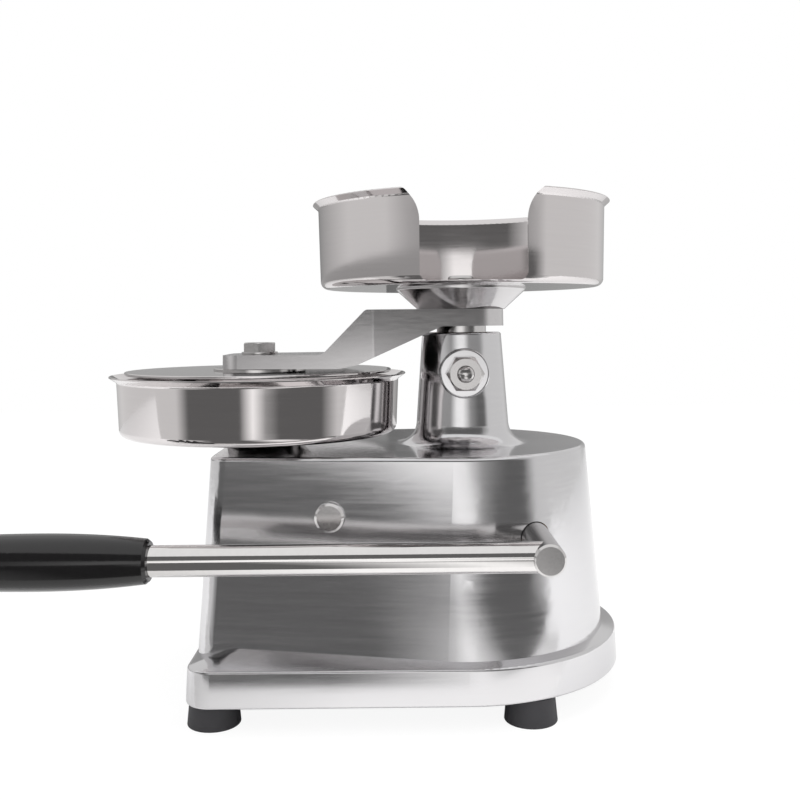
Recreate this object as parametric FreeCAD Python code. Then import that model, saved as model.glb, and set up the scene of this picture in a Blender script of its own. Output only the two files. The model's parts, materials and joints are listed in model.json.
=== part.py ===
import FreeCAD, Part
import math
import os

# Hand-operated patty press: a cast housing with a flared column, a fixed forming bowl,
# and a lifting shaft that carries the press arm and the paper tray. The lever's pinion
# drives the round rack cut in the shaft. Millimetres, +Z up. X runs along the machine
# with the bowl at the front (-X), the lever is on the -Y side. The column's axis is
# X = Y = 0 while modelling; place_all() then moves the pieces to the export origin.

V = FreeCAD.Vector

# ---------------------------------------------------------------- driving dimensions
foot_height = 13.5
foot_top_radius = 12.1
foot_bottom_radius = 13.4
foot_edge = 0.8
foot_nose = 14.8
rear_foot_x = 28.5
foot_side_inset = 18.6
foot_recess_radius = 6.2
foot_recess_depth = 5.0

housing_forward = 3.0
flange_radius = 86.6
flange_nose = 26.6
flange_corner = 13.0
flange_height = 18.0
flange_draft = 0.8
flange_edge = 1.2
ledge_run = 22.0
ledge_rise = 5.0

housing_height = 100.0
housing_rear_bottom = 79.6
housing_rear_top = 71.4
housing_half_bottom = 64.0
housing_half_top = 61.6
housing_nose_bottom = 25.2
housing_nose_top = 18.2
housing_corner = 10.0
housing_edge = 2.0
edge_steps = 5
wall = 5.0
top_wall = 6.0

column_height = 62.0
column_base_radius = 26.8
column_top_radius = 22.3
column_flare = 11.5
column_edge = 1.6
boss_radius = 13.7
boss_reach = 26.6
boss_drop = 22.3
boss_edge = 1.2

shaft_radius = 14.0
bush_wall = 3.0
upper_bush_length = 14.5
lower_bush_length = 44.0
ceiling_boss_depth = 12.0
ceiling_boss_wall = 6.0

guide_screw_radius = 5.6
guide_nut_across = 18.0
guide_nut_height = 8.5
guide_screw_stand = 3.2

bowl_reach = 115.0
bowl_seat_height = 6.5
bowl_seat_bottom_radius = 21.5
bowl_seat_top_radius = 28.5
bowl_height = 33.4
bowl_bottom_radius = 77.4
bowl_top_radius = 78.8
bowl_lip_radius = 82.9
lip_height = 3.5
sheet = 1.2
sheet_corner = 4.2
bowl_screw_circle = 15.5
bowl_screw_radius = 2.5
bowl_screw_head = 4.6
bowl_screw_length = 14.0

patty_plate_radius = 74.6
ejector_plate_thickness = 3.0
ejector_rod_radius = 6.0
ejector_bush_wall = 3.0
ejector_bush_depth = 13.0

press_gap = 0.4
press_plate_thickness = 1.6
plate_boss_radius = 26.0
plate_boss_thickness = 1.2
spigot_radius = 9.0

hub_gap = 3.5
hub_height = 9.4
hub_end = 23.2
hub_half = 24.0
hub_round = 19.0
arm_knee = 49.3
arm_knee_half = 33.0
arm_knee_round = 5.0
arm_end = 18.2
arm_end_half = 23.6
arm_end_round = 10.5
arm_end_thickness = 7.6
arm_draft = 1.6
arm_top_bend = 53.5
arm_bend_length = 23.7
arm_under_start = 12.0
arm_under_run = 46.0
arm_pocket_gap = 2.0
arm_under_toe = 10.0
arm_under_toe_drop = 2.0

arm_bolt_radius = 5.0
arm_bolt_across = 17.0
arm_bolt_head = 5.3
arm_bolt_turn = 4.0
flat_forward = 30.0
arm_washer_radius = 10.2
arm_washer_thickness = 1.3

hub_spigot_radius = 11.0
hub_spigot_height = 6.0
cone_bottom_radius = 24.6
cone_top_radius = 36.8
cone_height = 11.9
tray_height = 47.9
tray_bottom_radius = 79.4
tray_top_radius = 80.5
tray_lip_radius = 83.5
cut_half = 26.9
cut_corner = 4.0
cut_bend_drop = 8.0
cut_bend_radius = 20.0
cut_shoulder_reach = 9.0
cut_shoulder_radius = 8.0
cut_sill = 0.3
cut_turn = 1.5
cut_runout = 0.5
tray_screw_radius = 4.0
tray_screw_head_radius = 7.5
tray_screw_head_height = 4.5
tray_washer_radius = 12.0
tray_washer_thickness = 1.5

tooth_module = 1.5
pinion_teeth = 26
pinion_width = 12.0
pressure_angle = math.radians(20.0)
rack_backlash = 0.25
pinion_backlash = 0.15
axle_height = 77.0
axle_radius = 7.5
axle_reach = 116.0
axle_far_stand = 2.0
axle_bush_wall = 2.5
axle_bush_length = 12.0
axle_boss_inner = 45.0
axle_boss_wall = 4.0
collar_wall = 4.5
collar_width = 8.0
collar_screw_radius = 2.4
key_side = 5.0

lever_turn_down = 8.8
lever_turn_up = 172.6
lever_plane = 108.0
rod_radius = 7.25
grip_start = 183.0
grip_length = 115.0
grip_front_radius = 10.3
grip_full_radius = 12.9
grip_back_radius = 12.2
grip_gate_radius = 1.5
grip_full_at = 38.0
grip_depth = 92.0

yoke_thickness = 8.0
yoke_floor_gap = 2.0
yoke_half = 11.0
shaft_eye_radius = 11.0
ejector_eye_radius = 13.0
journal_radius = 7.0
thrust_thickness = 1.0
end_washer_radius = 9.2
end_washer_thickness = 1.4
end_screw_head = 1.4
end_screw_head_radius = 5.0
end_screw_radius = 3.0
end_screw_length = 16.0
web_thickness = 5.0

stop_bar_x = -71.2
stop_bar_height = 88.6
stop_bar_radius = 7.4
stop_bar_stand = 4.3
stop_bar_chamfer = 1.2
stop_ring_radius = 11.0
stop_ring_thickness = 1.2
stop_ring_groove = 0.6
stop_pad_half = 8.0

foot_screw_radius = 3.0
foot_screw_head_radius = 5.4
foot_screw_head_height = 2.8
foot_screw_grip = 12.0
foot_boss_radius = 8.0
grub_radius = 3.0

# ---------------------------------------------------------------- named clearances
running_fit = 0.05
press_fit = 0.03
thread_fit = 0.05
body_clearance = 0.3
face_gap = 0.1

# ---------------------------------------------------------------- derived levels and places
flange_top = foot_height + flange_height
housing_top = foot_height + flange_height + housing_height
ceiling = housing_top - top_wall
column_top = housing_top + column_height
boss_z = column_top - boss_drop
rear_centre_x = -housing_forward
flange_front = bowl_reach - housing_forward + flange_nose
housing_front_bottom = bowl_reach - housing_forward + housing_nose_bottom
housing_front_top = bowl_reach - housing_forward + housing_nose_top
front_foot_x = -bowl_reach - foot_nose
foot_y = flange_radius - foot_side_inset

seat_top = housing_top + bowl_seat_height
bowl_rim = seat_top + bowl_height
bowl_floor = seat_top + sheet
plate_bottom = bowl_rim + press_gap
plate_top = plate_bottom + press_plate_thickness
arm_end_bottom = plate_top + plate_boss_thickness
arm_end_top = arm_end_bottom + arm_end_thickness
hub_bottom = column_top + hub_gap
hub_top = hub_bottom + hub_height
tray_bottom = hub_top + cone_height
tray_floor = tray_bottom + sheet
tray_rim = tray_bottom + tray_height

tooth_pitch = math.pi * tooth_module
pinion_pitch_radius = tooth_module * pinion_teeth / 2
rack_pitch_radius = shaft_radius - tooth_module
rack_root_radius = rack_pitch_radius - 1.25 * tooth_module
axle_x = rack_pitch_radius + pinion_pitch_radius
axle_z = foot_height + axle_height
lift_up = math.radians(lever_turn_up) * pinion_pitch_radius
lift_down = math.radians(lever_turn_down) * pinion_pitch_radius

yoke_bottom = foot_height + lift_down + yoke_floor_gap
yoke_top = yoke_bottom + yoke_thickness
shoulder_z = yoke_top + thrust_thickness
web_bottom = yoke_top - web_thickness
stop_bar_z = foot_height + stop_bar_height
stop_pad_top = stop_bar_z - stop_bar_radius - lift_up - body_clearance

bush_radius = shaft_radius + running_fit + bush_wall
column_bore = bush_radius + press_fit
upper_bush_bottom = column_top - face_gap - upper_bush_length
lower_bush_bottom = ceiling - ceiling_boss_depth
ejector_bush_radius = ejector_rod_radius + running_fit + ejector_bush_wall
ejector_bush_bottom = ceiling - ejector_bush_depth
ejector_bottom = bowl_floor + lift_down + face_gap
ejector_top = ejector_bottom + ejector_plate_thickness
axle_bush_radius = axle_radius + running_fit + axle_bush_wall


# ---------------------------------------------------------------- shape helpers
def rounded_wire(points, place):
    """A closed wire through (a, b, radius) corners, with an arc at each corner that has a radius."""
    count = len(points)
    corners = []
    for i, (a, b, radius) in enumerate(points):
        here = place(a, b)
        if radius == 0:
            corners.append((here, None, here))
            continue
        before = place(*points[i - 1][:2]).sub(here).normalize()
        after = place(*points[(i + 1) % count][:2]).sub(here).normalize()
        half = before.getAngle(after) / 2
        inward = before.add(after).normalize()
        start = here + before * (radius / math.tan(half))
        end = here + after * (radius / math.tan(half))
        middle = here + inward * (radius / math.sin(half) - radius)
        corners.append((start, middle, end))
    edges = []
    for i, (start, middle, end) in enumerate(corners):
        if middle is not None:
            edges.append(Part.Arc(start, middle, end).toShape())
        following = corners[(i + 1) % count][0]
        if following.sub(end).Length > 1e-6:
            edges.append(Part.LineSegment(end, following).toShape())
    return Part.Wire(edges)


def in_xz(a, b):
    return V(a, 0, b)


def turned(points, x=0.0, y=0.0):
    """A solid of revolution about a vertical axis, from (radius, z, corner radius) points."""
    face = Part.Face(rounded_wire(points, in_xz))
    return face.revolve(V(0, 0, 0), V(0, 0, 1), 360).translated(V(x, y, 0))


def rod_z(radius, bottom, top, x=0.0, y=0.0):
    return Part.makeCylinder(radius, top - bottom, V(x, y, bottom), V(0, 0, 1))


def rod_y(radius, y_low, y_high, x, z):
    return Part.makeCylinder(radius, y_high - y_low, V(x, y_low, z), V(0, 1, 0))


def rod_x(radius, x_low, x_high, y, z):
    return Part.makeCylinder(radius, x_high - x_low, V(x_low, y, z), V(1, 0, 0))


def block(x_low, x_high, y_low, y_high, z_low, z_high):
    return Part.makeBox(x_high - x_low, y_high - y_low, z_high - z_low, V(x_low, y_low, z_low))


def hexagon(across, height, base, axis, turn=0.0):
    """A hexagonal prism with its bearing face at base and lightly turned-off corners."""
    corner_radius = across / math.sqrt(3)
    corners = [
        V(
            corner_radius * math.cos(math.radians(60 * i + turn)),
            corner_radius * math.sin(math.radians(60 * i + turn)),
            0,
        )
        for i in range(7)
    ]
    prism = Part.Face(Part.makePolygon(corners)).extrude(V(0, 0, height))
    cap = 0.12 * across
    crown = turned(
        [
            (0, -1, 0),
            (corner_radius + 1, -1, 0),
            (corner_radius + 1, height - cap + 0.5 * cap, 0),
            (across / 2 - 0.3, height, 0),
            (0, height, 0),
        ]
    )
    head = prism.common(crown)
    head.Placement = FreeCAD.Placement(base, FreeCAD.Rotation(V(0, 0, 1), axis))
    return head


def plan_outline(rear_radius, half, front, corner, z):
    """The D-shaped outline seen from above: a round rear, sides that run tangent to it, and two
    rounded front corners. The front is measured from the rear's centre."""
    centre_x = corner - front
    centre_y = half - corner
    distance = math.hypot(centre_x, centre_y)
    angle = math.atan2(centre_y, centre_x) - math.acos((rear_radius - corner) / distance)

    def on_circle(x, y, radius, direction):
        return V(
            rear_centre_x + x + radius * math.cos(direction), y + radius * math.sin(direction), z
        )

    rear_end = on_circle(0, 0, rear_radius, angle)
    side_end = on_circle(centre_x, centre_y, corner, angle)
    corner_middle = on_circle(centre_x, centre_y, corner, (angle + math.pi) / 2)
    front_end = V(rear_centre_x - front, centre_y, z)

    def mirrored(point):
        return V(point.x, -point.y, point.z)

    return Part.Wire(
        [
            Part.Arc(mirrored(rear_end), V(rear_centre_x + rear_radius, 0, z), rear_end).toShape(),
            Part.LineSegment(rear_end, side_end).toShape(),
            Part.Arc(side_end, corner_middle, front_end).toShape(),
            Part.LineSegment(front_end, mirrored(front_end)).toShape(),
            Part.Arc(mirrored(front_end), mirrored(corner_middle), mirrored(side_end)).toShape(),
            Part.LineSegment(mirrored(side_end), mirrored(rear_end)).toShape(),
        ]
    )


def flange_outline(z, inset=0.0):
    corner = max(flange_corner - inset, 3.0)
    radius = flange_radius - inset
    return plan_outline(radius, radius, flange_front - inset, corner, z)


def housing_outline(z, inset=0.0):
    share = (z - flange_top) / housing_height

    def between(bottom, top):
        return bottom + (top - bottom) * share - inset

    return plan_outline(
        between(housing_rear_bottom, housing_rear_top),
        between(housing_half_bottom, housing_half_top),
        between(housing_front_bottom, housing_front_top),
        max(housing_corner - inset, 3.0),
        z,
    )


def stacked(*outlines):
    return Part.makeLoft(list(outlines), True, True)


def edges_at(shape, z):
    return [e for e in shape.Edges if all(abs(v.Z - z) < 1e-4 for v in e.Vertexes)]


def mirrored_pair(make):
    """One piece on each side of the X-Z plane, from a function of the side's sign."""
    return Part.makeCompound([make(-1), make(1)])


def y_rod_between(radius, side, inner, outer, x, z):
    low, high = sorted((side * inner, side * outer))
    return rod_y(radius, low, high, x, z)


# ---------------------------------------------------------------- housing and what is fixed to it
feet = {
    "foot_front_near": (front_foot_x, -foot_y),
    "foot_front_far": (front_foot_x, foot_y),
    "foot_rear_near": (rear_foot_x, -foot_y),
    "foot_rear_far": (rear_foot_x, foot_y),
}


def side_wall_y(x, z):
    """How far the housing's outer side lies from the X-Z plane at a height."""
    section = Part.Face(housing_outline(z))
    line = Part.LineSegment(V(x, 0, z), V(x, 2 * flange_radius, z)).toShape()
    return section.common(line).BoundBox.YMax


def outer_walls():
    """The tapered walls with a rounded top edge, as drafted bands that turn in step by step."""
    outlines = [housing_outline(flange_top - wall)]
    for i in range(edge_steps + 1):
        turn = math.pi / 2 * i / edge_steps
        rise = housing_edge * (1 - math.sin(turn))
        outlines.append(housing_outline(housing_top - rise, housing_edge * (1 - math.cos(turn))))
    return stacked(*outlines)


def skirt():
    body = stacked(flange_outline(foot_height, -flange_draft), flange_outline(flange_top))
    body = body.makeFillet(flange_edge, edges_at(body, flange_top) + edges_at(body, foot_height))
    slope = stacked(
        flange_outline(flange_top, flange_edge),
        flange_outline(flange_top + ledge_rise, flange_edge + ledge_run),
    )
    return body.fuse(slope)


def column():
    return turned(
        [
            (0, ceiling + 1, 0),
            (column_base_radius + column_flare, ceiling + 1, 0),
            (column_base_radius + column_flare, housing_top, 0),
            (column_base_radius, housing_top, column_flare),
            (column_top_radius, column_top, column_edge),
            (0, column_top, 0),
        ]
    )


def column_boss():
    body = rod_y(boss_radius, -boss_reach, -shaft_radius, 0, boss_z)
    rim = [e for e in body.Edges if all(abs(v.Y + boss_reach) < 1e-4 for v in e.Vertexes)]
    return body.makeFillet(boss_edge, rim)


def housing_casting():
    shell = outer_walls()
    cavity = stacked(
        housing_outline(flange_top - wall - 1, wall), housing_outline(ceiling, wall)
    )
    under = stacked(flange_outline(foot_height - 1, wall), flange_outline(flange_top - wall, wall))
    solid = skirt().fuse(shell).cut(cavity).cut(under)
    ceiling_boss = rod_z(bush_radius + ceiling_boss_wall, lower_bush_bottom, ceiling + 1)
    ejector_boss = rod_z(
        ejector_bush_radius + ejector_bush_wall, ejector_bush_bottom, ceiling + 1, -bowl_reach
    )
    solid = solid.fuse([column(), column_boss(), ceiling_boss, ejector_boss])
    inner = stacked(housing_outline(flange_top, wall / 2), housing_outline(ceiling, wall / 2))
    for side in (-1, 1):
        axle_boss = y_rod_between(
            axle_bush_radius + axle_boss_wall, side, axle_boss_inner, flange_radius, axle_x, axle_z
        )
        bar_boss = y_rod_between(
            stop_ring_radius, side, stop_boss_inner, flange_radius, stop_bar_x, stop_bar_z
        )
        solid = solid.fuse([axle_boss.common(inner), bar_boss.common(inner)])
    for x, y in feet.values():
        solid = solid.fuse(rod_z(foot_boss_radius, foot_height, flange_top - 1, x, y))
    cuts = [
        rod_z(column_bore, lower_bush_bottom - 1, column_top + 1),
        rod_z(ejector_bush_radius + press_fit, ejector_bush_bottom - 1, housing_top + 1, -bowl_reach),
        rod_y(guide_screw_radius + thread_fit, -boss_reach - 1, 0, 0, boss_z),
        rod_y(axle_radius + body_clearance, -flange_radius, flange_radius, axle_x, axle_z),
        rod_y(stop_bar_radius + running_fit, -flange_radius, flange_radius, stop_bar_x, stop_bar_z),
    ]
    for side in (-1, 1):
        cuts.append(
            y_rod_between(
                axle_bush_radius + press_fit,
                side,
                axle_boss_inner - 1,
                axle_boss_inner + axle_bush_length + face_gap,
                axle_x,
                axle_z,
            )
        )
    for x, y in feet.values():
        cuts.append(rod_z(foot_screw_radius + thread_fit, foot_height - 1, flange_top - wall, x, y))
    for x, y in bowl_screw_places():
        cuts.append(
            rod_z(bowl_screw_radius + thread_fit, bowl_screw_bottom - 1, housing_top + 1, x, y)
        )
    return solid.cut(cuts).removeSplitter()


def foot(x, y):
    return turned(
        [
            (foot_screw_radius + body_clearance, foot_height, 0),
            (foot_screw_radius + body_clearance, foot_recess_depth, 0),
            (foot_recess_radius, foot_recess_depth, 0),
            (foot_recess_radius, 0, 0),
            (foot_bottom_radius, 0, foot_edge),
            (foot_top_radius, foot_height, 0.4),
        ],
        x,
        y,
    )


def foot_screw(x, y):
    head_bottom = foot_recess_depth - foot_screw_head_height
    tip = foot_height + foot_screw_grip
    return turned(
        [
            (0, head_bottom, 0),
            (foot_screw_head_radius, head_bottom, 1.0),
            (foot_screw_head_radius, foot_recess_depth, 0),
            (foot_screw_radius, foot_recess_depth, 0),
            (foot_screw_radius, tip, 0.5),
            (0, tip, 0),
        ],
        x,
        y,
    )


def column_bush(bottom, length):
    return turned(
        [
            (shaft_radius + running_fit, bottom, 0.4),
            (bush_radius, bottom, 0),
            (bush_radius, bottom + length, 0),
            (shaft_radius + running_fit, bottom + length, 0.4),
        ]
    )


def guide_screw():
    start = -shaft_radius - body_clearance
    tip = -boss_reach - guide_nut_height - guide_screw_stand
    body = rod_y(guide_screw_radius, tip, start, 0, boss_z)
    end = [e for e in body.Edges if all(abs(v.Y - tip) < 1e-4 for v in e.Vertexes)]
    return body.makeFillet(0.45 * guide_screw_radius, end)


def guide_lock_nut():
    nut = hexagon(guide_nut_across, guide_nut_height, V(0, -boss_reach, boss_z), V(0, -1, 0), 90)
    return nut.cut(rod_y(guide_screw_radius + thread_fit, -2 * flange_radius, 0, 0, boss_z))


def axle_bush(side):
    outer = y_rod_between(
        axle_bush_radius, side, axle_boss_inner, axle_boss_inner + axle_bush_length, axle_x, axle_z
    )
    return outer.cut(
        rod_y(axle_radius + running_fit, -flange_radius, flange_radius, axle_x, axle_z)
    )


def ejector_guide_bush():
    top = seat_top - face_gap
    return turned(
        [
            (ejector_rod_radius + running_fit, ejector_bush_bottom, 0.4),
            (ejector_bush_radius, ejector_bush_bottom, 0),
            (ejector_bush_radius, top, 0),
            (ejector_rod_radius + running_fit, top, 0.4),
        ],
        -bowl_reach,
    )


stop_wall_y = side_wall_y(stop_bar_x, stop_bar_z)
stop_boss_inner = stop_wall_y - wall - 2.5


def stop_bar():
    end = stop_wall_y + stop_bar_stand
    body = rod_y(stop_bar_radius, -end, end, stop_bar_x, stop_bar_z)
    rims = [e for e in body.Edges if all(abs(abs(v.Y) - end) < 1e-4 for v in e.Vertexes) and e.Closed]
    rims = [e for e in rims if abs(abs(e.CenterOfMass.y) - end) < 1e-4]
    body = body.makeChamfer(stop_bar_chamfer, rims)
    for side in (-1, 1):
        groove = stop_ring(side, stop_bar_radius - stop_ring_groove, stop_bar_radius + 1)
        body = body.cut(groove)
    return body


def stop_ring(side, inner_radius, outer_radius):
    outer_y = stop_boss_inner - face_gap
    inner_y = outer_y - stop_ring_thickness
    ring = y_rod_between(outer_radius, side, inner_y, outer_y, stop_bar_x, stop_bar_z)
    hole = rod_y(inner_radius, -flange_radius, flange_radius, stop_bar_x, stop_bar_z)
    return ring.cut(hole)


def stop_bar_ring(side):
    return stop_ring(side, stop_bar_radius - stop_ring_groove, stop_ring_radius)


bowl_screw_bottom = bowl_floor - bowl_screw_length


def bowl_screw_places():
    for i in range(3):
        angle = math.radians(60 + 120 * i)
        yield (
            -bowl_reach + bowl_screw_circle * math.cos(angle),
            bowl_screw_circle * math.sin(angle),
        )


def bowl_screw(x, y, extra=0.0):
    """A countersunk screw with its head flush with the bowl's floor."""
    head_drop = bowl_screw_head - bowl_screw_radius
    return turned(
        [
            (0, bowl_screw_bottom, 0),
            (bowl_screw_radius + extra, bowl_screw_bottom, 0),
            (bowl_screw_radius + extra, bowl_floor - head_drop, 0),
            (bowl_screw_head + extra, bowl_floor, 0),
            (0, bowl_floor, 0),
        ],
        x,
        y,
    )


def bowl_screw_holes():
    return [bowl_screw(x, y, thread_fit) for x, y in bowl_screw_places()]


def bowl_seat():
    seat = turned(
        [
            (ejector_bush_radius + press_fit, housing_top, 0),
            (bowl_seat_bottom_radius, housing_top, 0.6),
            (bowl_seat_top_radius, seat_top - 1.2, 0.8),
            (bowl_seat_top_radius, seat_top, 0),
            (ejector_bush_radius + press_fit, seat_top, 0),
        ],
        -bowl_reach,
    )
    return seat.cut(bowl_screw_holes())


def dish(hole, bottom, height, bottom_radius, top_radius, lip_radius, x):
    """A spun sheet dish: flat floor with a centre hole, drafted wall and a flared lip."""
    rim = bottom + height
    lip_run = lip_radius - top_radius
    return turned(
        [
            (hole, bottom, 0),
            (bottom_radius, bottom, sheet_corner),
            (top_radius, rim - lip_height, 1.4),
            (lip_radius, rim - 0.8, 0),
            (lip_radius - 0.3, rim, 0.25),
            (lip_radius - lip_run - sheet, rim - lip_height + 0.4, 1.2),
            (bottom_radius - sheet, bottom + sheet, sheet_corner - sheet),
            (hole, bottom + sheet, 0),
        ],
        x,
    )


def forming_bowl():
    bowl = dish(
        ejector_rod_radius + body_clearance,
        seat_top,
        bowl_height,
        bowl_bottom_radius,
        bowl_top_radius,
        bowl_lip_radius,
        -bowl_reach,
    )
    return bowl.cut(bowl_screw_holes())


# ---------------------------------------------------------------- lever, axle and pinion
def lever_axle():
    far_end = side_wall_y(axle_x, axle_z) + axle_far_stand
    body = rod_y(axle_radius, -axle_reach, far_end, axle_x, axle_z)
    ends = [e for e in body.Edges if e.Closed and abs(e.CenterOfMass.y - axle_center_y(body)) > 1]
    body = body.makeChamfer(1.0, ends)
    return body.cut(key_block(0.0))


def axle_center_y(body):
    return (body.BoundBox.YMin + body.BoundBox.YMax) / 2


def key_block(slack):
    """The parallel key, standing half in the axle and half in the pinion, on the axle's +X side."""
    half = key_side / 2 + slack
    length = pinion_width / 2 - 1 + slack
    return block(
        axle_x + axle_radius - key_side / 2,
        axle_x + axle_radius + key_side / 2 + slack,
        -length,
        length,
        axle_z - half,
        axle_z + half,
    )


def involute_point(base_radius, radius, offset):
    """The point of an involute flank at a radius, turned by offset from the tooth's middle."""
    roll = math.sqrt((radius / base_radius) ** 2 - 1)
    angle = offset - (roll - math.atan(roll))
    return angle, radius


def lever_pinion():
    base_radius = pinion_pitch_radius * math.cos(pressure_angle)
    tip_radius = pinion_pitch_radius + tooth_module
    root_radius = pinion_pitch_radius - 1.25 * tooth_module
    half_tooth = (tooth_pitch / 2 - pinion_backlash) / 2 / pinion_pitch_radius
    involute = math.tan(pressure_angle) - pressure_angle
    offset = half_tooth + involute
    radii = [base_radius + (tip_radius - base_radius) * i / 5 for i in range(6)]
    flank = [involute_point(base_radius, r, offset) for r in radii]

    def at(angle, radius):
        return V(axle_x - radius * math.cos(angle), -pinion_width / 2, axle_z + radius * math.sin(angle))

    def spline(points):
        curve = Part.BSplineCurve()
        curve.interpolate(points)
        return curve.toShape()

    edges = []
    step = 2 * math.pi / pinion_teeth
    for i in range(pinion_teeth):
        middle = i * step
        rising = [at(middle - a, r) for a, r in flank]
        falling = [at(middle + a, r) for a, r in reversed(flank)]
        foot_start = at(middle - offset, root_radius)
        foot_end = at(middle + offset, root_radius)
        next_start = at(middle + step - offset, root_radius)
        edges.append(Part.LineSegment(foot_start, rising[0]).toShape())
        edges.append(spline(rising))
        edges.append(Part.Arc(rising[-1], at(middle, tip_radius), falling[0]).toShape())
        edges.append(spline(falling))
        edges.append(Part.LineSegment(falling[-1], foot_end).toShape())
        edges.append(Part.Arc(foot_end, at(middle + step / 2, root_radius), next_start).toShape())
    gear = Part.Face(Part.Wire(edges)).extrude(V(0, pinion_width, 0))
    bore = rod_y(axle_radius + press_fit, -pinion_width, pinion_width, axle_x, axle_z)
    return gear.cut([bore, key_block(press_fit)])


def axle_collar(side):
    outer_y = axle_boss_inner - body_clearance
    inner_y = outer_y - collar_width
    ring = y_rod_between(axle_radius + collar_wall, side, inner_y, outer_y, axle_x, axle_z)
    bore = rod_y(axle_radius + press_fit, -flange_radius, flange_radius, axle_x, axle_z)
    middle = side * (inner_y + outer_y) / 2
    hole = rod_z(collar_screw_radius + thread_fit, axle_z, axle_z + 2 * axle_radius, axle_x, middle)
    return ring.cut([bore, hole])


def collar_screw(side):
    middle = side * (axle_boss_inner - body_clearance - collar_width / 2)
    bottom = axle_z + axle_radius + press_fit
    return rod_z(collar_screw_radius, bottom, bottom + collar_wall - 0.5, axle_x, middle)


def lever_rod():
    far_end = axle_x - grip_start - grip_depth
    rod = rod_x(rod_radius, far_end, axle_x, -lever_plane, axle_z)
    return rod.cut(rod_y(axle_radius + press_fit, -2 * axle_reach, 0, axle_x, axle_z))


def lever_grip():
    """A turned grip: slim at its mouth, fullest after a third of its length, domed at the end."""
    bore = rod_radius + press_fit

    def along(distance, radius):
        return V(axle_x - grip_start - distance, 0, radius)

    swell = Part.BSplineCurve()
    swell.interpolate(
        [
            along(1.5, grip_front_radius),
            along(grip_full_at / 2, (grip_front_radius + grip_full_radius) / 2 + 0.35),
            along(grip_full_at, grip_full_radius),
            along(0.72 * grip_length, (grip_full_radius + grip_back_radius) / 2 + 0.1),
            along(grip_length - 0.7 * grip_back_radius, grip_back_radius),
        ]
    )
    dome_depth = 0.7 * grip_back_radius
    dome_turns = [math.radians(22.5 * i) for i in range(5)]
    dome = Part.BSplineCurve()
    dome.interpolate(
        [
            along(
                grip_length - dome_depth * (1 - math.sin(turn)),
                grip_gate_radius + (grip_back_radius - grip_gate_radius) * math.cos(turn),
            )
            for turn in dome_turns
        ]
    )
    dome_end = dome.EndPoint
    depth = grip_depth + face_gap
    straight = [
        (dome_end, along(grip_length, 0)),
        (along(grip_length, 0), along(depth, 0)),
        (along(depth, 0), along(depth, bore)),
        (along(depth, bore), along(0, bore)),
        (along(0, bore), along(0, grip_front_radius - 1.2)),
        (along(0, grip_front_radius - 1.2), along(1.5, grip_front_radius)),
    ]
    edges = [swell.toShape(), dome.toShape()]
    edges += [Part.LineSegment(a, b).toShape() for a, b in straight]
    section = Part.Face(Part.Wire(Part.__sortEdges__(edges)))
    return section.revolve(V(0, 0, 0), V(1, 0, 0), 360).translated(V(0, -lever_plane, axle_z))


# ---------------------------------------------------------------- yoke and ejector
def lift_yoke():
    bar = block(-bowl_reach, 0, -yoke_half, yoke_half, yoke_bottom, yoke_top)
    pad = block(
        stop_bar_x - stop_pad_half,
        stop_bar_x + stop_pad_half,
        -yoke_half,
        yoke_half,
        yoke_top - 1,
        stop_pad_top,
    )
    body = bar.fuse(
        [
            pad,
            rod_z(shaft_eye_radius, yoke_bottom, yoke_top),
            rod_z(ejector_eye_radius, yoke_bottom, yoke_top, -bowl_reach),
        ]
    ).removeSplitter()
    grub_z = (yoke_bottom + yoke_top) / 2
    grub_start = -bowl_reach - ejector_eye_radius - 1
    return body.cut(
        [
            rod_z(journal_radius + running_fit, yoke_bottom - 1, yoke_top + 1),
            rod_z(end_washer_radius + body_clearance, yoke_bottom - 1, web_bottom),
            rod_z(ejector_rod_radius + press_fit, yoke_bottom + 1, yoke_top + 1, -bowl_reach),
            rod_x(grub_radius + thread_fit, grub_start, -bowl_reach, 0, grub_z),
        ]
    )


def thrust_washer():
    return turned(
        [
            (journal_radius + running_fit, yoke_top, 0),
            (rack_root_radius, yoke_top, 0.2),
            (rack_root_radius, shoulder_z, 0.2),
            (journal_radius + running_fit, shoulder_z, 0),
        ]
    )


def ejector_rod():
    rod = rod_z(ejector_rod_radius, yoke_bottom + 1, ejector_bottom, -bowl_reach)
    hole = rod_z(grub_radius + thread_fit, ejector_bottom - 12, ejector_bottom + 1, -bowl_reach)
    return rod.cut(hole)


def ejector_clamp_screw():
    start = -bowl_reach - ejector_eye_radius + 0.6
    end = -bowl_reach - ejector_rod_radius - press_fit
    return rod_x(grub_radius, start, end, 0, (yoke_bottom + yoke_top) / 2)


def ejector_head(extra):
    """The countersunk head and shank of the ejector plate's screw."""
    head = 2 * grub_radius
    return turned(
        [
            (0, ejector_bottom - 10, 0),
            (grub_radius + extra, ejector_bottom - 10, 0),
            (grub_radius + extra, ejector_top - 2.2, 0),
            (head - 0.8 + extra, ejector_top, 0),
            (0, ejector_top, 0),
        ],
        -bowl_reach,
    )


def ejector_plate():
    plate = turned(
        [
            (0, ejector_bottom, 0),
            (patty_plate_radius - 1.4, ejector_bottom, 0),
            (patty_plate_radius, ejector_bottom + 1.4, 0),
            (patty_plate_radius, ejector_top, 0.5),
            (0, ejector_top, 0),
        ],
        -bowl_reach,
    )
    return plate.cut(ejector_head(thread_fit))


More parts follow.
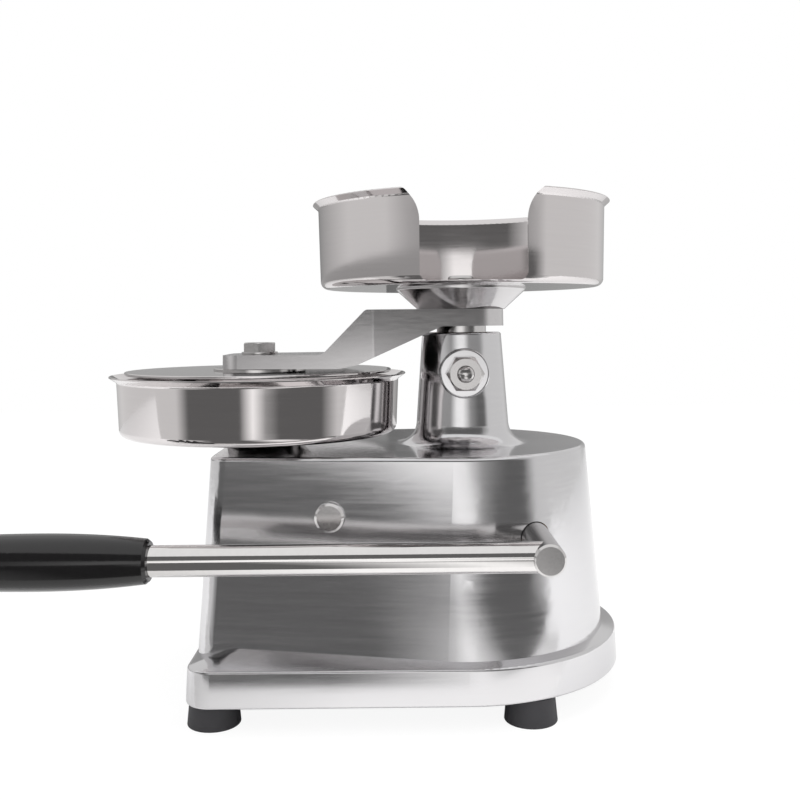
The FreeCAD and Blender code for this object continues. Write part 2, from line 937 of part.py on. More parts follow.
# ---------------------------------------------------------------- shaft, arm, press plate and tray
def rack_groove(middle_z):
    """One annular rack space: straight flanks at the pressure angle about the pitch radius."""
    half_at_pitch = (tooth_pitch / 2 + rack_backlash) / 2

    def half(radius):
        return half_at_pitch + (radius - rack_pitch_radius) * math.tan(pressure_angle)

    outside = shaft_radius + 0.5
    return turned(
        [
            (rack_root_radius, middle_z - half(rack_root_radius), 0),
            (outside, middle_z - half(outside), 0),
            (outside, middle_z + half(outside), 0),
            (rack_root_radius, middle_z + half(rack_root_radius), 0),
        ]
    )


def lift_shaft():
    spigot_top = hub_top + hub_spigot_height
    blank = turned(
        [
            (0, web_bottom - face_gap, 0),
            (journal_radius, web_bottom - face_gap, 0),
            (journal_radius, shoulder_z, 0),
            (rack_root_radius, shoulder_z, 0),
            (rack_root_radius, first_groove, 0),
            (shaft_radius, first_groove, 0),
            (shaft_radius, hub_bottom, 0),
            (hub_spigot_radius, hub_bottom, 0),
            (hub_spigot_radius, spigot_top, 0.6),
            (0, spigot_top, 0),
        ]
    )
    grooves = [rack_groove(axle_z + i * tooth_pitch) for i in range(-groove_below, groove_above + 1)]
    holes = [
        rod_z(end_screw_radius + thread_fit, 0, web_bottom + end_screw_length),
        rod_z(tray_screw_radius + thread_fit, tray_screw_bottom - 1, spigot_top + 1),
    ]
    return blank.cut(grooves).cut(holes)


groove_below = math.ceil(lift_up / tooth_pitch)
groove_above = math.ceil(lift_down / tooth_pitch) + 1
first_groove = axle_z - groove_below * tooth_pitch
tray_screw_bottom = hub_bottom + 2.0


def shaft_end_washer():
    top = web_bottom - face_gap
    return turned(
        [
            (end_screw_radius + thread_fit, top - end_washer_thickness, 0),
            (end_washer_radius, top - end_washer_thickness, 0.3),
            (end_washer_radius, top, 0.3),
            (end_screw_radius + thread_fit, top, 0),
        ]
    )


def shaft_end_screw():
    head_top = web_bottom - face_gap - end_washer_thickness
    head_bottom = head_top - end_screw_head
    tip = web_bottom + end_screw_length - 1
    return turned(
        [
            (0, head_bottom, 0),
            (end_screw_head_radius, head_bottom, 0.6),
            (end_screw_head_radius, head_top, 0),
            (end_screw_radius, head_top, 0),
            (end_screw_radius, tip, 0.4),
            (0, tip, 0),
        ]
    )


def arm_plan(z, grow):
    end_x = -bowl_reach - arm_end
    corners = [
        (hub_end, -hub_half - grow, hub_round),
        (hub_end, hub_half + grow, hub_round),
        (-arm_knee, arm_knee_half + grow, arm_knee_round),
        (end_x, arm_end_half + grow, arm_end_round),
        (end_x, -arm_end_half - grow, arm_end_round),
        (-arm_knee, -arm_knee_half - grow, arm_knee_round),
    ]
    return rounded_wire(corners, lambda x, y: V(x, y, z))


def press_arm():
    """A cranked casting: flat hub, deep web that widens at the knee, flat end over the bowl.
    A round pocket lets the web's cheeks hang beside the column."""
    plan = stacked(arm_plan(arm_end_bottom, arm_draft), arm_plan(hub_top, -arm_draft))
    end_x = -bowl_reach - arm_end
    low_x = -arm_top_bend - arm_bend_length
    under_x = -arm_under_start - arm_under_run
    side = rounded_wire(
        [
            (end_x - 1, arm_end_bottom, 0),
            (under_x - arm_under_toe, arm_end_bottom, 0),
            (under_x, arm_end_bottom + arm_under_toe_drop, 6),
            (-arm_under_start, hub_bottom, 3),
            (hub_end + 1, hub_bottom, 0),
            (hub_end + 1, hub_top, 0),
            (-arm_top_bend, hub_top, 3),
            (low_x, arm_end_top, 5),
            (end_x - 1, arm_end_top, 0),
        ],
        in_xz,
    )
    reach = arm_knee_half + 3 * arm_draft
    slab = Part.Face(side).extrude(V(0, 2 * reach, 0)).translated(V(0, -reach, 0))
    grub_z = (hub_bottom + hub_top) / 2
    return plan.common(slab).cut(
        [
            rod_z(hub_spigot_radius + press_fit, hub_bottom - 1, hub_top + 1),
            rod_z(spigot_radius + press_fit, 0, arm_end_top + 1, -bowl_reach),
            rod_x(grub_radius + thread_fit, 0, hub_end + 2, 0, grub_z),
            rod_z(column_top_radius + arm_pocket_gap, arm_end_bottom - 1, hub_bottom),
        ]
    )


def arm_set_screw():
    start = hub_spigot_radius + press_fit
    return rod_x(grub_radius, start, hub_end - 0.8, 0, (hub_bottom + hub_top) / 2)


def press_plate():
    return turned(
        [
            (0, plate_bottom, 0),
            (patty_plate_radius, plate_bottom, 0.5),
            (patty_plate_radius, plate_top, 0.5),
            (0, plate_top, 0),
        ],
        -bowl_reach,
    )


def plate_boss():
    """The disc welded to the press plate, with the threaded spigot that the arm's end drops over."""
    spigot_top = arm_end_top - face_gap
    bore = arm_bolt_radius + thread_fit
    return turned(
        [
            (bore, plate_top, 0),
            (plate_boss_radius, plate_top, 0),
            (plate_boss_radius, arm_end_bottom, 0.5),
            (spigot_radius, arm_end_bottom, 0),
            (spigot_radius, spigot_top, 0.4),
            (bore, spigot_top, 0),
        ],
        -bowl_reach,
    )


def arm_bolt():
    head_bottom = arm_end_top + arm_washer_thickness
    head = hexagon(
        arm_bolt_across,
        arm_bolt_head,
        V(-bowl_reach, 0, head_bottom),
        V(0, 0, 1),
        flat_forward + arm_bolt_turn,
    )
    return head.fuse(
        rod_z(arm_bolt_radius, plate_top + face_gap, head_bottom + 0.5, -bowl_reach)
    ).removeSplitter()


def arm_bolt_washer():
    return turned(
        [
            (arm_bolt_radius + body_clearance, arm_end_top, 0),
            (arm_washer_radius, arm_end_top, 0.25),
            (arm_washer_radius, arm_end_top + arm_washer_thickness, 0.25),
            (arm_bolt_radius + body_clearance, arm_end_top + arm_washer_thickness, 0),
        ],
        -bowl_reach,
    )


def tray_cone():
    spigot_top = hub_top + hub_spigot_height + face_gap
    return turned(
        [
            (hub_spigot_radius + press_fit, hub_top, 0),
            (cone_bottom_radius, hub_top, 0.8),
            (cone_top_radius, tray_bottom - 0.8, 0.5),
            (cone_top_radius, tray_bottom, 0),
            (tray_screw_radius + body_clearance, tray_bottom, 0),
            (tray_screw_radius + body_clearance, spigot_top, 0),
            (hub_spigot_radius + press_fit, spigot_top, 0),
        ]
    )


def paper_tray():
    """The stainless tray for the patty papers, with a finger cut down to its floor on one side."""
    tray = dish(
        tray_screw_radius + body_clearance,
        tray_bottom,
        tray_height,
        tray_bottom_radius,
        tray_top_radius,
        tray_lip_radius,
        0,
    )
    sill = tray_floor + cut_sill
    bend = tray_rim - cut_bend_drop
    top = tray_rim + cut_runout
    shoulder = cut_half + cut_shoulder_reach
    wide = shoulder + 2 * cut_shoulder_radius
    outline = rounded_wire(
        [
            (-cut_half, sill, cut_corner),
            (cut_half, sill, cut_corner),
            (cut_half, bend, cut_bend_radius),
            (shoulder, top, cut_shoulder_radius),
            (wide, top, 0),
            (wide, tray_rim + lip_height, 0),
            (-wide, tray_rim + lip_height, 0),
            (-wide, top, 0),
            (-shoulder, top, cut_shoulder_radius),
            (-cut_half, bend, cut_bend_radius),
        ],
        in_xz,
    )
    opening = Part.Face(outline).extrude(V(0, -2 * tray_lip_radius, 0))
    opening.rotate(V(0, 0, 0), V(0, 0, 1), cut_turn)
    return tray.cut(opening)


def tray_washer():
    return turned(
        [
            (tray_screw_radius + body_clearance, tray_floor, 0),
            (tray_washer_radius, tray_floor, 0.3),
            (tray_washer_radius, tray_floor + tray_washer_thickness, 0.3),
            (tray_screw_radius + body_clearance, tray_floor + tray_washer_thickness, 0),
        ]
    )


def tray_screw():
    head_bottom = tray_floor + tray_washer_thickness
    head_top = head_bottom + tray_screw_head_height
    return turned(
        [
            (0, tray_screw_bottom, 0),
            (tray_screw_radius, tray_screw_bottom, 0.5),
            (tray_screw_radius, head_bottom, 0),
            (tray_screw_head_radius, head_bottom, 0),
            (tray_screw_head_radius, head_top, 2.2),
            (0, head_top, 0),
        ]
    )


# ---------------------------------------------------------------- all the pieces
pieces = {
    "housing_casting": housing_casting(),
    "foot_screws": Part.makeCompound([foot_screw(x, y) for x, y in feet.values()]),
    "column_bush_upper": column_bush(upper_bush_bottom, upper_bush_length),
    "column_bush_lower": column_bush(lower_bush_bottom, lower_bush_length),
    "guide_screw": guide_screw(),
    "guide_lock_nut": guide_lock_nut(),
    "axle_bushes": mirrored_pair(axle_bush),
    "ejector_guide_bush": ejector_guide_bush(),
    "stop_bar": stop_bar(),
    "stop_bar_rings": mirrored_pair(stop_bar_ring),
    "bowl_seat": bowl_seat(),
    "forming_bowl": forming_bowl(),
    "bowl_screws": Part.makeCompound([bowl_screw(x, y) for x, y in bowl_screw_places()]),
    "lever_axle": lever_axle(),
    "lever_pinion": lever_pinion(),
    "pinion_key": key_block(0.0),
    "axle_collars": mirrored_pair(axle_collar),
    "collar_screws": mirrored_pair(collar_screw),
    "lever_rod": lever_rod(),
    "lever_grip": lever_grip(),
    "lift_yoke": lift_yoke(),
    "thrust_washer": thrust_washer(),
    "ejector_rod": ejector_rod(),
    "ejector_clamp_screw": ejector_clamp_screw(),
    "ejector_plate": ejector_plate(),
    "ejector_plate_screw": ejector_head(0.0),
    "lift_shaft": lift_shaft(),
    "shaft_end_washer": shaft_end_washer(),
    "shaft_end_screw": shaft_end_screw(),
    "press_arm": press_arm(),
    "arm_set_screw": arm_set_screw(),
    "press_plate": press_plate(),
    "plate_boss": plate_boss(),
    "arm_bolt": arm_bolt(),
    "arm_bolt_washer": arm_bolt_washer(),
    "tray_cone": tray_cone(),
    "paper_tray": paper_tray(),
    "tray_washer": tray_washer(),
    "tray_screw": tray_screw(),
}
for name, (x, y) in feet.items():
    pieces[name] = foot(x, y)


def export_origin():
    """The centre of the whole object's box, on the surface it stands on."""
    box = FreeCAD.BoundBox()
    for shape in pieces.values():
        box.add(shape.optimalBoundingBox())
    return V((box.XMin + box.XMax) / 2, (box.YMin + box.YMax) / 2, 0)


def export_all():
    origin = export_origin()
    os.makedirs("parts", exist_ok=True)
    print("column axis in the export frame:", round(-origin.x, 4), round(-origin.y, 4))
    for name, shape in pieces.items():
        moved = shape.translated(V(0, 0, 0) - origin)
        if not moved.isValid():
            print("NOT VALID", name)
        moved.exportStep("parts/" + name + ".step")


export_all()
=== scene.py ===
# %% [markdown]
# # A hand-operated patty press
# The press is a polished aluminium casting with a flared column. A spun stainless bowl holds
# the meat, a swinging arm carries the press plate, and a paper tray turns with the arm. Every
# solid is already made to size, so this lesson dresses the solids: it gives each one the
# finish of its real material and remodels the guide screw's lock nut and stud.

# %% Load the finished solids
import json
import math
import bpy
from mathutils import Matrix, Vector


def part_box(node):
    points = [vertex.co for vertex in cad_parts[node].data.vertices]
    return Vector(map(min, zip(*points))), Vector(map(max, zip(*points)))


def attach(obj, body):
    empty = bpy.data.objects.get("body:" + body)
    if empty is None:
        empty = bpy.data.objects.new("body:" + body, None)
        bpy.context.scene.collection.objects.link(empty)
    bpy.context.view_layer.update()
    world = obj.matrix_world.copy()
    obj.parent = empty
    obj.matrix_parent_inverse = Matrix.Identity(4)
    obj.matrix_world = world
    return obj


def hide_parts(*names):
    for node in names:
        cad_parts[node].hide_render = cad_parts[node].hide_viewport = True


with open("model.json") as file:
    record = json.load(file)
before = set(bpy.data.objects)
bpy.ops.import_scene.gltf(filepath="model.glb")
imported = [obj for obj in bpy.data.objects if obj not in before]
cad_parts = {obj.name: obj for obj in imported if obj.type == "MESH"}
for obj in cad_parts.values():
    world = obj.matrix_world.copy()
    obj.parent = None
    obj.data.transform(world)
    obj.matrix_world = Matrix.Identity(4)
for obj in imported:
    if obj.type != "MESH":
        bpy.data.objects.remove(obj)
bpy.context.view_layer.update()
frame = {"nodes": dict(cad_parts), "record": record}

MM = 0.001

# %% [markdown]
# ## Where things are
# The pieces' positions come from the solids themselves: the column's axis is the axis that
# the arm swings about, and the bowl is centred in its own box. A change of size in the
# solids carries through to the pieces modelled here.

# %% The main axes
joints = {joint["name"]: joint for joint in frame["record"]["behaviour"]["joints"]}
column_axis = Vector(joints["arm_swing"]["pos_m"])
bowl_low, bowl_high = (Vector(corner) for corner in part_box("forming_bowl"))
bowl_axis = (bowl_low + bowl_high) / 2
print("column axis", tuple(column_axis), "bowl axis", tuple(bowl_axis))

# %% [markdown]
# ## Colours and nodes
# Finishes are written as sRGB hex values, as a paint or plating chart gives them, and turned
# to the linear values that the shader works in. One helper adds a shader node with its
# settings and its links, so each material reads as a short list. Patterns are scaled from
# real sizes in millimetres.

# %% Helpers for materials
def linear(hex_colour):
    """The linear colour of an sRGB hex value such as "C8CBCE"."""
    channels = [int(hex_colour[i : i + 2], 16) / 255 for i in (0, 2, 4)]
    return [c / 12.92 if c <= 0.04045 else ((c + 0.055) / 1.055) ** 2.4 for c in channels] + [1.0]


def per_mm(size_mm):
    """A texture scale whose features are about size_mm across."""
    return 1.0 / (size_mm * MM)


def add_node(material, kind, settings=(), sockets=()):
    """Adds a node. A socket takes a value, or (node, output name) to link from."""
    tree = material.node_tree
    node = tree.nodes.new(kind)
    for name, value in dict(settings).items():
        setattr(node, name, value)
    for name, value in dict(sockets).items():
        if isinstance(value, tuple) and isinstance(value[0], bpy.types.Node):
            tree.links.new(value[0].outputs[value[1]], node.inputs[name])
        else:
            node.inputs[name].default_value = value
    return node


def start_material(name, **values):
    """A new material with a Principled shader whose uniform values are set on its sockets."""
    material = bpy.data.materials.new(name)
    material.use_nodes = True
    shader = material.node_tree.nodes["Principled BSDF"]
    for socket, value in values.items():
        shader.inputs[socket.replace("_", " ")].default_value = value
    return material, shader


def link(material, source, output, target, socket):
    material.node_tree.links.new(source.outputs[output], target.inputs[socket])


grain_detail, grain_falloff = 5.0, 0.6
noise_low, noise_high = 0.3, 0.7


def grained(name, light, dark, grain_mm, stretch, roughness, bump_mm, **values):
    """A finish whose colour, gloss and surface follow one directional grain."""
    material, shader = start_material(name, **values)
    place = add_node(material, "ShaderNodeTexCoord")
    mapped = add_node(
        material, "ShaderNodeMapping", sockets={"Vector": (place, "Object"), "Scale": stretch}
    )
    grain = add_node(
        material,
        "ShaderNodeTexNoise",
        sockets={
            "Vector": (mapped, "Vector"),
            "Scale": per_mm(grain_mm),
            "Detail": grain_detail,
            "Roughness": grain_falloff,
        },
    )
    tone = add_node(
        material,
        "ShaderNodeMix",
        {"data_type": "RGBA"},
        {0: (grain, "Fac"), 6: linear(dark), 7: linear(light)},
    )
    link(material, tone, 2, shader, "Base Color")
    gloss = add_node(
        material,
        "ShaderNodeMapRange",
        sockets={
            "Value": (grain, "Fac"),
            "From Min": noise_low,
            "From Max": noise_high,
            "To Min": roughness[0],
            "To Max": roughness[1],
        },
    )
    link(material, gloss, "Result", shader, "Roughness")
    bump = add_node(
        material,
        "ShaderNodeBump",
        sockets={"Height": (grain, "Fac"), "Distance": bump_mm * MM, "Strength": 1.0},
    )
    link(material, bump, "Normal", shader, "Normal")
    return material


# %% [markdown]
# ## The finishes
# The castings are aluminium, ground and then polished on a wheel, which leaves a soft gloss
# with fine level scratches. The bowl and tray are stainless sheet, spun on a lathe and
# polished until they mirror the room. Turned parts are bright steel, the lever is plated,
# the grip is moulded phenolic with a wet gloss, and the feet are matte rubber. A polished
# metal reflects about two thirds of the light that meets it, so the base colours are pale.

# %% Metals and plastics
finishes = {
    "cast_body": grained(
        "Wheel-polished cast aluminium", "D6D5D6", "CFCED0",
        2.2, (0.06, 0.06, 1.0), (0.11, 0.165), 0.0008, Metallic=1.0,
    ),
    "cast_arm": grained(
        "Polished cast aluminium, arm", "D3D1D1", "C8C6C7",
        1.6, (0.1, 1.0, 1.0), (0.13, 0.19), 0.0015, Metallic=1.0,
    ),
    "stainless_sheet": grained(
        "Spun stainless sheet", "D6D2D2", "D0CCCC",
        1.6, (0.04, 0.04, 1.0), (0.045, 0.085), 0.0004, Metallic=1.0,
    ),
    "bright_steel": grained(
        "Turned bright steel", "D2D0CF", "C4C2C2",
        0.8, (1.0, 1.0, 1.0), (0.10, 0.18), 0.001, Metallic=1.0,
    ),
    "plated_lever": grained(
        "Bright chrome plate", "E0DEDD", "D8D6D5",
        2.5, (1.0, 1.0, 1.0), (0.05, 0.09), 0.0005, Metallic=1.0,
    ),
    "steel_parts": grained(
        "Oiled machined steel", "8D8F93", "66686C",
        0.9, (1.0, 1.0, 0.2), (0.28, 0.42), 0.004, Metallic=1.0,
    ),
    "fasteners": grained(
        "Stainless fastener steel", "CBC9C8", "B6B4B4",
        0.9, (1.0, 1.0, 1.0), (0.14, 0.24), 0.002, Metallic=1.0,
    ),
    "bronze_bushes": grained(
        "Sintered bronze", "B98A4A", "8A6233",
        0.5, (1.0, 1.0, 1.0), (0.3, 0.5), 0.010, Metallic=1.0,
    ),
    "black_grip": grained(
        "Moulded black phenolic", "131213", "0D0C0D",
        3.0, (1.0, 1.0, 1.0), (0.11, 0.17), 0.001, IOR=1.55,
    ),
    "foot_rubber": grained(
        "Moulded foot rubber", "38373A", "29282B",
        0.6, (1.0, 1.0, 1.0), (0.55, 0.72), 0.02, IOR=1.52,
    ),
}
for entry in frame["record"]["subparts"]:
    node = frame["nodes"][entry["node"]]
    node.data.materials.clear()
    node.data.materials.append(finishes[entry["material_slot"]])
print("finishes:", len(finishes))

# %% [markdown]
# ## Modelling with rings
# Most of what is left to model was turned on a lathe. A turned piece is drawn here as it is
# cut: a ring is added, then extruded and scaled from one station of its profile to the
# next. The piece is made upright at the origin, and then laid on its axis and applied, so
# its place is in its mesh.

# %% Helpers for modelling
def free_selection():
    if bpy.context.object and bpy.context.object.mode != "OBJECT":
        bpy.ops.object.mode_set(mode="OBJECT")
    bpy.ops.object.select_all(action="DESELECT")


def ringed(name, stations, sides=96):
    """A closed upright piece grown ring by ring through (radius, height) stations in mm."""
    free_selection()
    (radius, height), rest = stations[0], stations[1:]
    bpy.ops.mesh.primitive_circle_add(
        vertices=sides, radius=radius * MM, fill_type="NGON", location=(0, 0, height * MM)
    )
    piece = bpy.context.object
    piece.name = name
    bpy.ops.object.transform_apply(location=True, rotation=True, scale=True)
    bpy.ops.object.mode_set(mode="EDIT")
    bpy.ops.mesh.select_all(action="SELECT")
    for next_radius, next_height in rest:
        bpy.ops.mesh.extrude_region_move(
            TRANSFORM_OT_translate={"value": (0, 0, (next_height - height) * MM)}
        )
        factor = next_radius / radius
        bpy.ops.transform.resize(
            value=(factor, factor, 1), center_override=(0, 0, next_height * MM)
        )
        radius, height = next_radius, next_height
    bpy.ops.mesh.select_all(action="SELECT")
    bpy.ops.mesh.normals_make_consistent(inside=False)
    bpy.ops.object.mode_set(mode="OBJECT")
    return piece


def settle(piece, place, rotation, finish, angle_deg=30.0):
    """Lays a piece on its axis, applies its place, smooths it and gives it its finish."""
    free_selection()
    piece.select_set(True)
    bpy.context.view_layer.objects.active = piece
    piece.location = place
    piece.rotation_euler = rotation
    bpy.ops.object.transform_apply(location=True, rotation=True, scale=True)
    bpy.ops.object.shade_smooth_by_angle(angle=math.radians(angle_deg))
    piece.data.materials.clear()
    piece.data.materials.append(finishes[finish])
    print(piece.name, len(piece.data.polygons), "faces")


# %% [markdown]
# ## The guide screw's lock nut and stud
# The column's boss carries a guide screw that is locked by a hexagon nut. On the real one
# the nut's corners are turned off at both ends, and the stud stands out of it with a domed,
# polished end. The nut starts as a six-sided ring that is grown and then chamfered by the
# intersection with a turned blank, as it is made.

# %% The lock nut
boss_low, boss_high = (Vector(corner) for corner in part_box("guide_lock_nut"))
nut_axis_z = (boss_low.z + boss_high.z) / 2
nut_height = (boss_high.y - boss_low.y) / MM
nut_corner = (boss_high.z - boss_low.z) / 2 / MM
clearance = 0.02
back_flat, back_step, back_chamfer = 0.86, 0.9, 1.1
front_flat, front_chamfer = 0.8, 1.9
nut = ringed("guide_nut", [(nut_corner, 0.0), (nut_corner, nut_height)], sides=6)
blank = ringed(
    "turned_blank",
    [
        (nut_corner * back_flat, -clearance),
        (nut_corner * back_step, -clearance / 2),
        (nut_corner + clearance, back_chamfer),
        (nut_corner + clearance, nut_height - front_chamfer),
        (nut_corner * front_flat, nut_height),
    ],
)
trim = nut.modifiers.new("turned corners", "BOOLEAN")
trim.operation = "INTERSECT"
trim.solver = "EXACT"
trim.object = blank
free_selection()
nut.select_set(True)
bpy.context.view_layer.objects.active = nut
bpy.ops.object.modifier_apply(modifier=trim.name)
bpy.data.objects.remove(blank, do_unlink=True)
settle(
    nut,
    (column_axis.x, boss_high.y, nut_axis_z),
    (math.radians(90), math.radians(30), 0),
    "fasteners",
    25.0,
)
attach(nut, "housing")
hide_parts("guide_lock_nut")

# %% The stud
stud_low, stud_high = (Vector(corner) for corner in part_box("guide_screw"))
slimmer, dome_share = 0.84, 0.62
dome_step, dome_stations = 6, 15
stud_radius = slimmer * (stud_high.z - stud_low.z) / 2 / MM
stud_length = (stud_high.y - stud_low.y) / MM
stud = ringed(
    "guide_stud",
    [(stud_radius, 0.0)]
    + [
        (
            stud_radius * math.cos(math.radians(dome_step * i)),
            stud_length - dome_share * stud_radius * (1 - math.sin(math.radians(dome_step * i))),
        )
        for i in range(dome_stations)
    ],
)
settle(
    stud,
    (column_axis.x, stud_high.y, nut_axis_z),
    (math.radians(90), 0, 0),
    "bright_steel",
    40.0,
)
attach(stud, "housing")
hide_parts("guide_screw")

# %% [markdown]
# ## Floor, lights and the camera
# A product studio: a pale floor and a white room. The paper of the floor is lifted towards
# white where the camera sees it, and keeps the shadow.

# %% A card that glows by bearing
card_strength = 2.0
surround_warmth = 1.005


def glow_along(name, centre, stops):
    """A card whose brightness follows (bearing in degrees, brightness) stops."""
    material = bpy.data.materials.new(name)
    material.use_nodes = True
    material.cycles.emission_sampling = "NONE"
    nodes = material.node_tree.nodes
    nodes.remove(nodes["Principled BSDF"])
    place = add_node(material, "ShaderNodeTexCoord")
    split = add_node(material, "ShaderNodeSeparateXYZ", sockets={"Vector": (place, "Object")})
    along_x = add_node(
        material, "ShaderNodeMath", {"operation": "SUBTRACT"}, {0: (split, "X"), 1: centre.x}
    )
    along_y = add_node(
        material, "ShaderNodeMath", {"operation": "SUBTRACT"}, {0: centre.y, 1: (split, "Y")}
    )
    bearing = add_node(
        material,
        "ShaderNodeMath",
        {"operation": "ARCTAN2"},
        {0: (along_x, "Value"), 1: (along_y, "Value")},
    )
    share = add_node(
        material,
        "ShaderNodeMapRange",
        sockets={"Value": (bearing, "Value"), "From Min": -math.pi, "From Max": math.pi},
    )
    ramp = add_node(material, "ShaderNodeValToRGB", sockets={"Fac": (share, "Result")})
    elements = ramp.color_ramp.elements
    for i, (at, brightness) in enumerate(stops):
        element = elements[i] if i < 2 else elements.new(1.0)
        element.position = (at + 180) / 360
        level = brightness / card_strength
        element.color = (level * surround_warmth, level, level / surround_warmth, 1)
    glow = add_node(
        material,
        "ShaderNodeEmission",
        sockets={"Color": (ramp, "Color"), "Strength": card_strength},
    )
    link(material, glow, "Emission", nodes["Material Output"], "Surface")
    return material


# %% The floor
floor_width, floor_depth, floor_front = 5.0, 2.0, 0.24
paper_white, camera_share = 1.04, 0.88
free_selection()
bpy.ops.mesh.primitive_plane_add(
    size=1, location=(column_axis.x, column_axis.y + floor_depth / 2 - floor_front, 0)
)
floor = bpy.context.object
floor.name = "studio_floor"
floor.scale = (floor_width, floor_depth, 1)
bpy.ops.object.transform_apply(location=True, rotation=True, scale=True)
paper, paper_shader = start_material("Matte studio paper", Roughness=0.9)
paper_shader.inputs["Base Color"].default_value = linear("F4F4F4")
paper_light = add_node(
    paper, "ShaderNodeEmission", sockets={"Color": (1, 1, 1, 1), "Strength": paper_white}
)
ray = add_node(paper, "ShaderNodeLightPath")
lift = add_node(
    paper,
    "ShaderNodeMath",
    {"operation": "MULTIPLY"},
    {0: (ray, "Is Camera Ray"), 1: camera_share},
)
paper_mix = add_node(paper, "ShaderNodeMixShader", sockets={0: (lift, "Value")})
link(paper, paper_shader, "BSDF", paper_mix, 1)
link(paper, paper_light, "Emission", paper_mix, 2)
link(paper, paper_mix, "Shader", paper.node_tree.nodes["Material Output"], "Surface")
floor.data.materials.append(paper)

# %% [markdown]
# ## The surround
# Polished metal only shows what stands round it, so a surround out of sight gives it its
# bands: a round wall in five tiers, and three cloths on the table in front. Four brightness
# levels are enough: pale walls at the sides and behind, dark flags at both sides of the
# front, one strip light between them, and grey where a flag is thin. The stops are bearings
# in degrees, with 0 at the camera's side, and each level fades into the next. The surround
# is seen by reflections alone and throws no shadow.

# %% The surround, seen only in reflections
def reflections_only(card, material):
    card.data.materials.clear()
    card.data.materials.append(material)
    card.visible_camera = False
    card.visible_diffuse = False
    card.visible_shadow = False
    card.visible_transmission = False


surround_centre = column_axis + Vector((-60.0, 0.0, 0.0)) * MM
surround_radius = 1.3
wall, grey, flag, strip = 0.8, 0.4, 0.15, 1.3
surround_tiers = [
    ("bowl_tier", -0.90, -0.015, [
        (-180, wall), (-60, wall), (-50, flag), (-10, flag), (0, strip), (10, grey),
        (20, flag), (55, flag), (70, wall), (180, wall),
    ]),
    ("housing_tier", -0.015, 0.105, [
        (-180, flag), (-130, wall), (-60, wall), (-50, flag), (-10, flag), (0, strip),
        (10, strip), (20, grey), (30, flag), (55, flag), (65, wall), (130, wall), (180, flag),
    ]),
    ("column_tier", 0.105, 0.275, [
        (-180, grey), (-30, grey), (-15, strip), (0, strip), (20, grey), (40, flag),
        (55, flag), (65, wall), (130, wall), (180, flag),
    ]),
    ("tray_tier", 0.275, 0.42, [
        (-180, flag), (-100, wall), (-60, wall), (-30, grey), (-10, strip), (5, strip),
        (20, grey), (50, grey), (65, wall), (130, wall), (180, flag),
    ]),
    ("high_tier", 0.42, 1.30, [
        (-180, wall), (-70, wall), (-45, flag), (45, flag), (70, wall), (180, wall),
    ]),
]
for name, low, high, stops in surround_tiers:
    free_selection()
    bpy.ops.mesh.primitive_cylinder_add(
        vertices=120,
        radius=surround_radius,
        depth=high - low,
        end_fill_type="NOTHING",
        location=(surround_centre.x, surround_centre.y, (low + high) / 2),
    )
    tier = bpy.context.object
    tier.name = name
    bpy.ops.object.transform_apply(location=True, rotation=True, scale=True)
    reflections_only(tier, glow_along(name + " cloth", surround_centre, stops))

# %% The cloths on the table in front, seen only in reflections
table_centre = column_axis + Vector((71.0, 350.0, 0.0)) * MM
table_cloths = [
    ("far_cloth", -0.72, -0.42, 0.004, 1.1, [
        (-180, flag), (-15, flag), (-5, wall), (5, flag), (180, flag),
    ]),
    ("middle_cloth", -0.42, -0.165, 0.003, 1.0, [
        (-180, wall), (-35, wall), (-27, flag), (-15, flag), (-5, strip), (5, flag),
        (25, flag), (35, wall), (180, wall),
    ]),
    ("near_cloth", -0.165, -0.098, 0.002, 0.62, [
        (-180, wall), (-30, wall), (-15, strip), (5, strip), (20, wall), (180, wall),
    ]),
]
for name, start, end, height, width, stops in table_cloths:
    free_selection()
    bpy.ops.mesh.primitive_plane_add(
        size=1, location=(surround_centre.x, column_axis.y + (start + end) / 2, height)
    )
    cloth = bpy.context.object
    cloth.name = name
    cloth.scale = (width, end - start, 1)
    bpy.ops.object.transform_apply(location=True, rotation=True, scale=True)
    reflections_only(cloth, glow_along(name + " paper", table_centre, stops))


# %% [markdown]
# ## Lamps and the room
# Three soft lamps light the matte pieces. The room is white to the camera, to reflections
# and through clear things by Light Path, and it lights the press at a plain level.

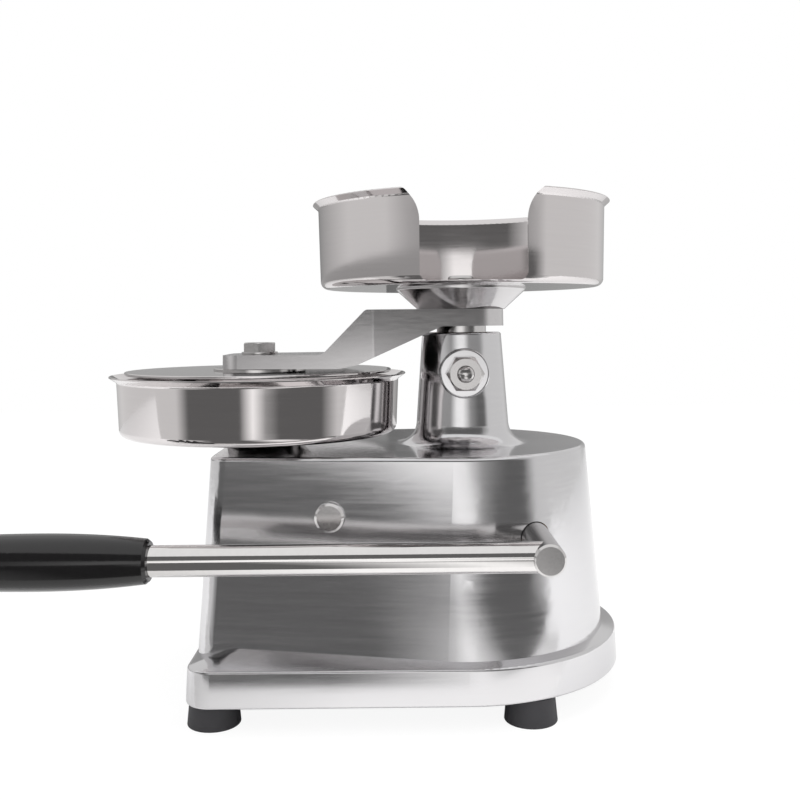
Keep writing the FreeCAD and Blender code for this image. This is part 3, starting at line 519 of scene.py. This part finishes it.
# %% Lamps and the room
def soft_lamp(name, place, aim, width, height, watts):
    data = bpy.data.lights.new(name, "AREA")
    data.shape = "RECTANGLE"
    data.size = width
    data.size_y = height
    data.energy = watts
    lamp = bpy.data.objects.new(name, data)
    bpy.context.scene.collection.objects.link(lamp)
    lamp.location = place
    lamp.rotation_euler = (Vector(aim) - Vector(place)).to_track_quat("-Z", "Y").to_euler()
    lamp.visible_glossy = False


soft_lamp("overhead_lamp", (0.1, -0.2, 1.5), (0.05, 0.0, 0.1), 1.2, 1.0, 12)
soft_lamp("left_lamp", (-1.1, -0.8, 0.9), (0.0, 0.0, 0.1), 0.7, 0.9, 7)
soft_lamp("right_lamp", (1.1, -0.6, 0.8), (0.0, 0.0, 0.1), 0.7, 0.9, 7)

room_light, room_white = 0.7, 1.0
room = bpy.data.worlds.new("White room")
bpy.context.scene.world = room
room.use_nodes = True
room.cycles.sampling_method = "NONE"
room_nodes = room.node_tree.nodes
backdrop = room_nodes["Background"]
backdrop.inputs["Color"].default_value = (1, 1, 1, 1)
room_ray = add_node(room, "ShaderNodeLightPath")
seen = add_node(
    room, "ShaderNodeMath", {"operation": "MAXIMUM"},
    {0: (room_ray, "Is Camera Ray"), 1: (room_ray, "Is Glossy Ray")},
)
seen_all = add_node(
    room, "ShaderNodeMath", {"operation": "MAXIMUM"},
    {0: (seen, "Value"), 1: (room_ray, "Is Transmission Ray")},
)
brightness = add_node(
    room,
    "ShaderNodeMapRange",
    sockets={"Value": (seen_all, "Value"), "To Min": room_light, "To Max": room_white},
)
link(room, brightness, "Result", backdrop, "Strength")

# %% [markdown]
# ## The camera
# The press is seen level, from a little over half a metre, at the height of the arm. The
# frame is shifted down so that the uprights stay upright.

# %% The camera and the view settings
camera_offset_mm = Vector((-34.9, -558.0, 198.0))
camera_roll_deg = 0.6
camera_data = bpy.data.cameras.new("Studio camera")
camera_data.lens = 44.06
camera_data.sensor_width = 36.0
camera_data.shift_y = -0.094
camera_data.clip_start = 0.01
camera = bpy.data.objects.new("Studio camera", camera_data)
bpy.context.scene.collection.objects.link(camera)
camera.location = column_axis + camera_offset_mm * MM
camera.rotation_euler = (math.radians(90), math.radians(camera_roll_deg), 0)
bpy.context.scene.camera = camera
bpy.context.scene.view_settings.view_transform = "Standard"
